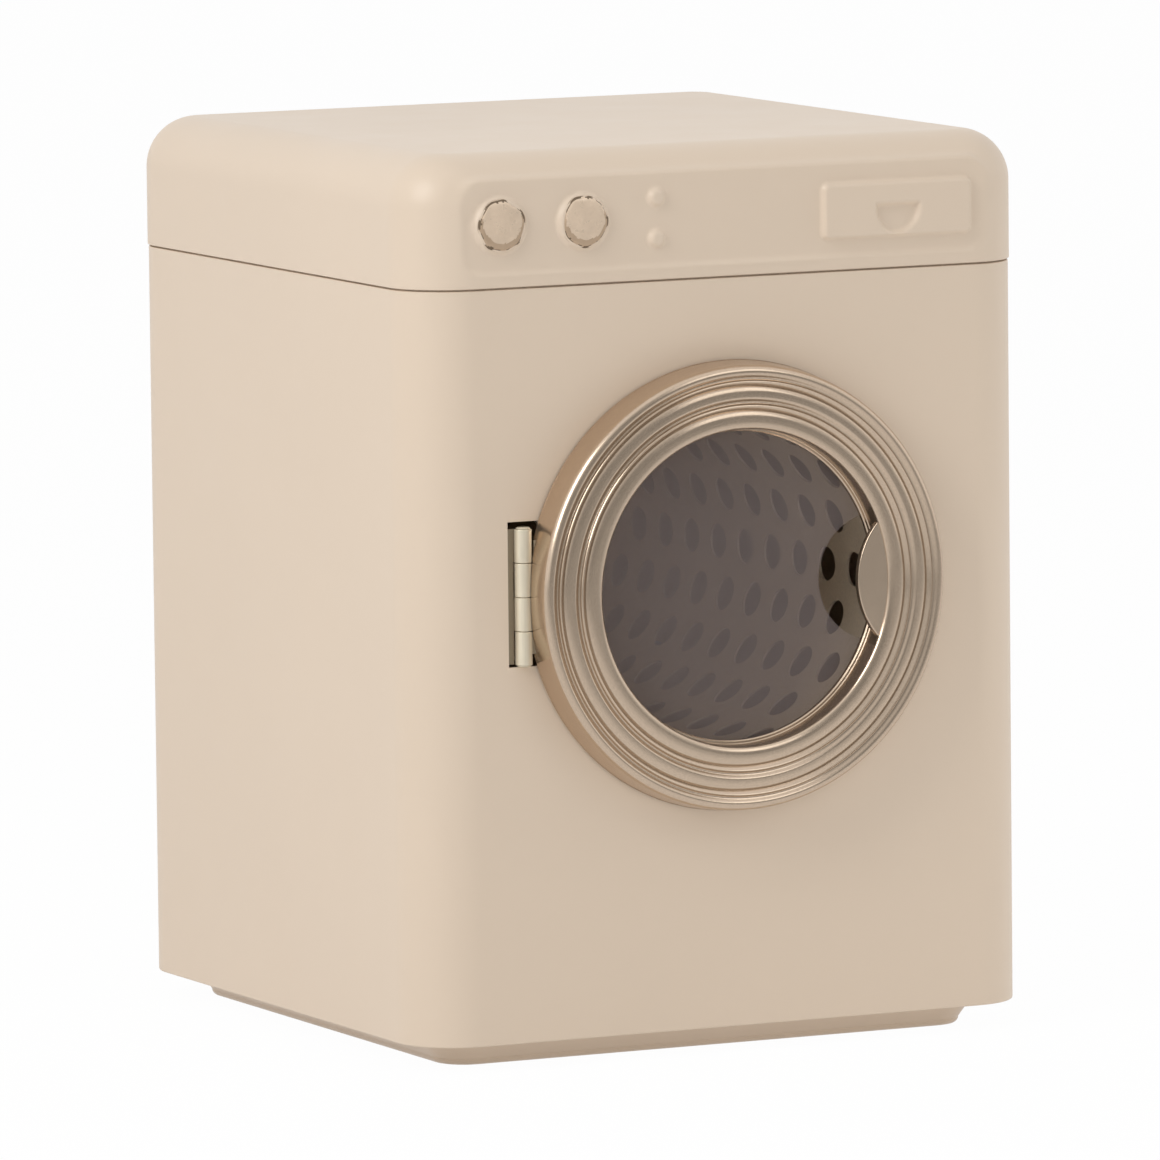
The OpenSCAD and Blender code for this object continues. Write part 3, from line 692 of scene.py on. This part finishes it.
def flank(crest, groove, power=0, steps=16):
    """Curve from a crest, where it is level, down to a groove; without a power it ends level too."""
    (r0, h0), (r1, h1) = crest, groove
    points = []
    for i in range(steps + 1):
        t = i / steps
        drop = t ** power if power else (1 - math.cos(math.pi * t)) / 2
        points.append((r0 + (r1 - r0) * t, h0 + (h1 - h0) * drop))
    return points


def ring_profile():
    """Three broad bands that fall off outwards, with a narrow bead in the gap before the next."""
    lip, outer = band_crests[0], band_crests[-1]
    points = [(window_r + 0.05, 0), (window_r + 0.05, window_t), (ledge_r + 0.1, window_t),
              (ledge_r, window_t + 0.1), (ledge_r, window_t + ledge_t - 0.15),
              (ledge_r + 0.15, window_t + ledge_t), (ring_hole_r - 0.1, window_t + ledge_t),
              (ring_hole_r, window_t + ledge_t + 0.1)]
    points += [(ring_hole_r, ring_t - lip_drop - i) for i in (2.0, 1.0)]
    points += ellipse_arc((lip, ring_t - lip_drop), lip - ring_hole_r, lip_drop, 180, 90)
    for deep, shallow, crest in zip(deep_grooves, shallow_grooves, band_crests[1:]):
        points += flank(points[-1], (deep, deep_h), 3)[1:]
        points += [(deep + 0.04, deep_h + 0.02), (deep + 0.38, ring_t - 0.08)]
        points += flank((deep + 0.5, ring_t - 0.02), (shallow, shallow_h), 0, 8)
        points += flank((crest, ring_t), (shallow, shallow_h))[-2::-1]
    points += ellipse_arc((outer, ring_t - outer_drop), ring_front_r - outer, outer_drop, 90, 5)[1:]
    points += [(ring_r - 0.05, 0.45), (ring_r, 0.38), (ring_r, 0.06), (ring_r - 0.06, 0)]
    return points


def make_ring():
    """The moulded ring, hollowed at the rear for the barrel, the door leaf and the magnet."""
    verts, faces = lathe(ring_profile(), 288, on_door)
    ring = mesh_piece("ring_body", verts, faces, "door", "champagne_ring", champagne, 40, ["door_ring"])
    room = arc((pin_x, pin_y), barrel_r + relief, 0, 360, 48)[:-1]
    barrel_room = new_cutter(room, hinge_low - barrel_end_fit, hinge_high + barrel_end_fit, along_z)
    pocket = box_outline(pin_x, door_leaf_end + relief, door_leaf_y, ring_rear + 1)
    leaf_room = new_cutter(pocket, hinge_low + door_leaf_in - leaf_pocket_fit,
                           hinge_high - door_leaf_in + leaf_pocket_fit, along_z)
    mx = (magnet_low.x + magnet_high.x) / 2
    mr = (magnet_high.x - magnet_low.x) / 2 + magnet_fit
    disc = arc((mx, 0), mr, 0, 360, 48)[:-1]
    magnet_room = new_cutter(disc, -1.0, magnet_high.y - magnet_low.y + magnet_fit, on_door)
    cut(ring, barrel_room, leaf_room, magnet_room)
    smooth_by_angle(ring, 40)
    keep_flats(ring)
    return ring


def circles_meet(x1, r1, x2, r2):
    """Angle above the row in which circle 1, centred on the same row, meets circle 2."""
    apart = x2 - x1
    return math.degrees(math.acos((apart * apart + r1 * r1 - r2 * r2) / (2 * apart * r1)))


def make_tab():
    """Finger tab: a lens between its own round edge and the ring's inner wall."""
    wall = ring_hole_r + 0.4
    on_wall = circles_meet(0, wall, tab_x, tab_r)
    on_tab = circles_meet(-tab_x, tab_r, 0, wall)
    outline = arc((0, 0), wall, -on_wall, on_wall, 40)
    outline += arc((tab_x, 0), tab_r, 180 - on_tab, 180 + on_tab, 56)[1:-1]
    verts, faces = prism(outline, tab_front - tab_t, tab_front, on_door)
    tab = mesh_piece("finger_tab", verts, faces, "door", "champagne_ring", champagne, 40)
    edge_bevel(tab, 0.3, 5, 50)
    keep_flats(tab)
    return tab


def make_pane():
    """The tinted pane with its finger notch."""
    on_pane = circles_meet(0, window_r, notch_x, notch_r)
    on_notch = circles_meet(-notch_x, notch_r, 0, window_r)
    outline = arc((0, 0), window_r, on_pane, 360 - on_pane, 200)
    outline += arc((notch_x, 0), notch_r, 180 + on_notch, 180 - on_notch, 64)[1:-1]
    verts, faces = prism(outline, 0.0, window_t, on_door)
    pane = mesh_piece("window_pane", verts, faces, "door", "tinted_window", smoke_pane, 40,
                      ["door_window"])
    edge_bevel(pane, 0.1, 2, 50)
    keep_flats(pane)
    return pane


# Hinge


def hinge_leaf(name, body, node, first, side, plate_end, y0, inset):
    """A leaf with its own knuckles, rolled from the same strip; side is +1 or -1 along X.
    The plate lies from y0 to y0 + leaf_t and ends inset short of the hinge's ends."""
    length = (hinge_high - hinge_low) / knuckle_n
    inner_r = barrel_r - leaf_t
    face = 1 if y0 > pin_y else -1
    near, far = sorted(abs(y - pin_y) for y in (y0, y0 + leaf_t))
    root = pin_x + side * math.sqrt((barrel_r + leaf_clear) ** 2 - near ** 2)
    arm = pin_x + side * (math.sqrt(inner_r ** 2 - near ** 2) + 0.05)
    start = face * math.degrees(math.asin(far / barrel_r))
    if side < 0:
        start = 180 - start
    sweep_by = side * face * 320
    rolled = arc((pin_x, pin_y), barrel_r, start, start + sweep_by, 44)
    rolled += arc((pin_x, pin_y), inner_r, start + sweep_by, start, 44)
    y1 = y0 + leaf_t
    plate = box_outline(*sorted((root, plate_end)), y0, y1)
    prisms = [(plate, hinge_low + inset, hinge_high - inset)]
    for i in range(first, knuckle_n, 2):
        low = hinge_low + i * length + knuckle_gap / 2
        high = low + length - knuckle_gap
        prisms.append((rolled, low, high))
        prisms.append((box_outline(*sorted((arm, root)), y0, y1),
                       max(low, hinge_low + inset), min(high, hinge_high - inset)))
    verts, faces, flat = [], [], []
    for outline, low, high in prisms:
        more, more_faces = prism(outline, low, high, along_z)
        faces += [[v + len(verts) for v in f] for f in more_faces]
        verts += more
        flat += [outline is not rolled] * len(more_faces)
    leaf = mesh_piece(name, verts, faces, body, "hinge_metal", hinge_metal, 40, [node])
    # The flat plates take the darker copy: painted shade for the shadow in the slot behind the front
    leaf.data.materials.append(hinge_painted_shade)
    for face, in_shade in zip(leaf.data.polygons, flat):
        face.material_index = int(in_shade)
    edge_bevel(leaf, 0.07, 2, 50)
    keep_flats(leaf)
    return leaf


def make_pin():
    """Hinge pin with rounded heads."""
    r, head = (pin_high.x - pin_low.x) / 2 - 0.25, 0.2
    profile = [(0.0, pin_low.z), (r + 0.1, pin_low.z), (r + 0.25, pin_low.z + 0.1),
               (r + 0.25, pin_low.z + head), (r, pin_low.z + head), (r, pin_high.z - head),
               (r + 0.25, pin_high.z - head), (r + 0.25, pin_high.z - 0.1),
               (r + 0.1, pin_high.z), (0.0, pin_high.z)]
    verts, faces = lathe(profile, 32, lambda a, b, z: (pin_x + a, pin_y + b, z))
    verts, faces = merge_same(verts, faces)
    return mesh_piece("rolled_pin", verts, faces, "cabinet", "hinge_metal", hinge_metal, 40,
                      ["hinge_pin"])


# Drum


def on_tube(angle, depth):
    """Point on the drum's sheet, depth behind its front edge."""
    return (drum_mid_r * math.cos(angle), drum_low.y + depth, door_z + drum_mid_r * math.sin(angle))


def cell_border(half_w, half_l, side):
    """Points round a cell, as angle and depth from its middle, side steps along each edge."""
    ends = [(-half_w, -half_l), (-half_w, half_l), (half_w, half_l), (half_w, -half_l)]
    border = []
    for (a0, d0), (a1, d1) in zip(ends, ends[1:] + ends[:1]):
        border += [(a0 + (a1 - a0) * i / side, d0 + (d1 - d0) * i / side) for i in range(side)]
    return border


def perforated_sheet():
    """The rolled sheet: each hole sits in its own cell, row beside row, with plain ends."""
    side = 8
    row_w = 2 * math.pi / hole_rows
    step = hole_pitch / side
    verts, faces = [], []
    for row in range(-(hole_rows // 2), hole_rows - hole_rows // 2):
        centre = math.radians(row_angle) + row * row_w
        first = first_hole + abs(row) % 2 / 2 * hole_pitch
        for i in range(holes_in_row):
            depth = first + i * hole_pitch
            border = cell_border(row_w / 2, hole_pitch / 2, side)
            rim = []
            for a, d in border:
                away = math.hypot(a * drum_mid_r, d)
                rim.append((a * hole_r / away, d * hole_r / away))
            middle = [((a + c) / 2, (b + d) / 2) for (a, b), (c, d) in zip(border, rim)]
            faces += quads(2, len(border), start=len(verts))
            for loop in (border, middle, rim):
                verts += [on_tube(centre + a, depth + d) for a, d in loop]
        holes_start = first - hole_pitch / 2
        holes_end = holes_start + holes_in_row * hole_pitch
        for low, high in ((rim_r, holes_start), (holes_end, drum_high.y - drum_low.y)):
            lines = max(1, round((high - low) / step))
            faces += quads(lines, side + 1, start=len(verts), closed=False)
            for j in range(lines + 1):
                verts += [on_tube(centre - row_w / 2 + row_w * k / side, low + (high - low) * j / lines)
                          for k in range(side + 1)]
    return merge_same(verts, faces)


def make_drum():
    """Perforated sheet rolled to a tube, with its front edge rolled over."""
    drum = mesh_piece("drum_tube", *perforated_sheet(), "drum", "drum_tin", drum_metal, 60,
                      ["drum_shell"])
    thick = drum.modifiers.new("sheet", "SOLIDIFY")
    thick.thickness = drum_t * MM
    thick.offset = 0
    apply_modifiers(drum)
    smooth_by_angle(drum, 50)
    profile = arc((drum_r + rim_r, drum_low.y + rim_r), rim_r, 0, 360, 20)[:-1]
    verts, faces = lathe(profile, 160, lambda a, b, y: (a, y, door_z + b))
    mesh_piece("drum_rim", verts, faces, "drum", "drum_tin", drum_metal)
    return drum


# Nodes that keep their own shape


def dress(node, material, bevel=0.05, sharp=30):
    """Gives a node its material and soft edges, and leaves its shape."""
    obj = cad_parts[node]
    obj.data.materials.clear()
    obj.data.materials.append(material)
    for face in obj.data.polygons:
        face.use_smooth = True
        face.material_index = 0
    if bevel:
        edge_bevel(obj, bevel, 2, 40)
    split = obj.modifiers.new("sharp", "EDGE_SPLIT")
    split.split_angle = math.radians(sharp)
    keep_flats(obj)


make_shell()
make_opening_collar()
make_cover()
make_foil("program_dial_foil", "left_dial_foil", 2.0)
make_foil("temperature_dial_foil", "right_dial_foil", 5.0)
make_ring()
make_tab()
make_pane()
hinge_leaf("cabinet_leaf", "cabinet", "hinge_cabinet_leaf", 1, -1, cabinet_leaf_end, front_y + sheet_t,
           knuckle_gap / 2)
hinge_leaf("door_leaf", "door", "hinge_door_leaf", 0, 1, door_leaf_end, door_leaf_y, door_leaf_in)
make_pin()
make_drum()
dress("rear_panel", cream_base, 0)
dress("base_tray", cream_base, 0)
dress("rear_panel_rivets", zinc, 0)
dress("window_retainer", champagne)
dress("door_magnet", zinc)
dress("door_leaf_screws", zinc)
dress("drum_back", drum_metal)
dress("drum_hub", nylon)
dress("drum_spindle", zinc)
dress("rear_washer", nylon)
dress("front_washer", nylon)
dress("spindle_cap", zinc, 0.2)


# Studio


def make_camera():
    """The photo's view: a long lens from the left, a little above the machine."""
    sy, cy = math.sin(cam_yaw), math.cos(cam_yaw)
    sp, cp = math.sin(cam_pitch), math.cos(cam_pitch)
    sr, cr = math.sin(cam_roll), math.cos(cam_roll)
    forward = Vector((sy * cp, cy * cp, -sp))
    level = Vector((cy, -sy, 0))
    upright = level.cross(forward)
    right = cr * level + sr * upright
    up = -sr * level + cr * upright
    data = bpy.data.cameras.new("camera")
    data.lens = focal_px / IMAGE_SIZE * sensor_mm
    data.sensor_width = sensor_mm
    data.clip_end = 100
    camera = bpy.data.objects.new("camera", data)
    bpy.context.scene.collection.objects.link(camera)
    rotation = Matrix((right, up, -forward)).transposed()
    place = (cam_shift_x * right + cam_shift_z * up - cam_distance * forward) * MM
    camera.matrix_world = Matrix.Translation(place) @ rotation.to_4x4()
    bpy.context.scene.camera = camera


def softbox(name, azimuth, elevation, distance, width, height, power, in_gloss=True):
    """An area lamp aimed at the machine: angles in degrees, lengths in metres, power in watts.
    Azimuth 0 is in front and 90 to the right."""
    a, e = math.radians(azimuth), math.radians(elevation)
    middle = Vector((0, 0, 0.06))
    towards = Vector((math.sin(a) * math.cos(e), -math.cos(a) * math.cos(e), math.sin(e)))
    data = bpy.data.lights.new(name, "AREA")
    data.shape = "RECTANGLE"
    data.size = width
    data.size_y = height
    data.energy = power
    lamp = bpy.data.objects.new(name, data)
    bpy.context.scene.collection.objects.link(lamp)
    lamp.location = middle + towards * distance
    lamp.visible_glossy = in_gloss
    lamp.rotation_mode = "QUATERNION"
    lamp.rotation_quaternion = (-towards).to_track_quat("-Z", "Y")


def feed(tree, value, socket):
    """Links an output to a socket, or writes a plain number there."""
    if isinstance(value, float):
        socket.default_value = value
    else:
        tree.links.new(value, socket)


def join(tree, operation, first, second):
    """A Math node of two values."""
    node = tree.nodes.new("ShaderNodeMath")
    node.operation = operation
    feed(tree, first, node.inputs[0])
    feed(tree, second, node.inputs[1])
    return node.outputs[0]


def switch(tree, factor, off, on):
    """off where factor is 0, on where it is 1."""
    node = tree.nodes.new("ShaderNodeMix")
    feed(tree, factor, node.inputs["Factor"])
    feed(tree, off, node.inputs["A"])
    feed(tree, on, node.inputs["B"])
    return node.outputs["Result"]


def room_strength(tree, output, near, far, low, high):
    """The room's brightness, low towards the front and high towards the back of the machine, from
    the y of a place or a direction."""
    coords = tree.nodes.new("ShaderNodeTexCoord")
    split = tree.nodes.new("ShaderNodeSeparateXYZ")
    tree.links.new(coords.outputs[output], split.inputs[0])
    ramp = tree.nodes.new("ShaderNodeMapRange")
    ramp.inputs["From Min"].default_value = near
    ramp.inputs["From Max"].default_value = far
    ramp.inputs["To Min"].default_value = low
    ramp.inputs["To Max"].default_value = high
    tree.links.new(split.outputs["Y"], ramp.inputs["Value"])
    return ramp.outputs["Result"]


def make_floor():
    """White floor that keeps a soft trace of the machine's shadow; gloss sees it end in the dim
    room in front."""
    size = 6.0
    glow_share = 0.975
    fill_share = 0.22
    mesh = bpy.data.meshes.new("floor")
    mesh.from_pydata([(-size, -size, 0), (size, -size, 0), (size, size, 0), (-size, size, 0)], [],
                     [[0, 1, 2, 3]])
    floor = bpy.data.objects.new("floor", mesh)
    bpy.context.scene.collection.objects.link(floor)
    mat = bpy.data.materials.new("floor_white")
    mat.use_nodes = True
    tree = mat.node_tree
    tree.nodes.clear()
    diffuse = tree.nodes.new("ShaderNodeBsdfDiffuse")
    diffuse.inputs["Color"].default_value = (0.92, 0.91, 0.9, 1)
    path = tree.nodes.new("ShaderNodeLightPath")
    glow = tree.nodes.new("ShaderNodeEmission")
    in_gloss = room_strength(tree, "Object", -0.45, -0.1, 0.4, 0.85)
    feed(tree, switch(tree, path.outputs["Is Glossy Ray"], 1.0, in_gloss), glow.inputs["Strength"])
    seen = path.outputs["Is Camera Ray"]
    for ray in ("Is Glossy Ray", "Is Transmission Ray"):
        seen = join(tree, "MAXIMUM", seen, path.outputs[ray])
    share = join(tree, "MAXIMUM", join(tree, "MULTIPLY", seen, glow_share), fill_share)
    mix = tree.nodes.new("ShaderNodeMixShader")
    out = tree.nodes.new("ShaderNodeOutputMaterial")
    tree.links.new(share, mix.inputs["Fac"])
    tree.links.new(diffuse.outputs[0], mix.inputs[1])
    tree.links.new(glow.outputs[0], mix.inputs[2])
    tree.links.new(mix.outputs[0], out.inputs["Surface"])
    mesh.materials.append(mat)


def make_world():
    """White to the eye; as light, a pale room that is dimmer on the camera's side."""
    world = bpy.data.worlds.new("studio")
    bpy.context.scene.world = world
    world.use_nodes = True
    tree = world.node_tree
    tree.nodes.clear()
    path = tree.nodes.new("ShaderNodeLightPath")
    strength = room_strength(tree, "Generated", -0.6, 0.5, 0.3, 0.66)
    in_gloss = room_strength(tree, "Generated", -0.85, -0.4, 0.32, 1.0)
    for ray, seen in (("Is Glossy Ray", in_gloss), ("Is Transmission Ray", 1.0), ("Is Camera Ray", 1.0)):
        strength = switch(tree, path.outputs[ray], strength, seen)
    room = tree.nodes.new("ShaderNodeBackground")
    out = tree.nodes.new("ShaderNodeOutputWorld")
    room.inputs["Color"].default_value = (1, 1, 1, 1)
    tree.links.new(strength, room.inputs["Strength"])
    tree.links.new(room.outputs[0], out.inputs["Surface"])


make_camera()
make_floor()
make_world()
softbox("key_left", -69, 34, 0.7, 0.3, 0.4, 1.8)
softbox("top", -10, 74, 0.7, 0.3, 0.3, 0.45, in_gloss=False)
softbox("front", -18, 14, 0.6, 0.2, 0.2, 0.2, in_gloss=False)
softbox("front_low", 31, -13.7, 0.19, 0.12, 0.02, 0.014, in_gloss=False)
softbox("front_right", 27, 36, 0.8, 0.35, 0.35, 0.45)
softbox("rim_right", 78, 18, 0.7, 0.3, 0.3, 0.6, in_gloss=False)
bpy.context.scene.view_settings.view_transform = "Standard"
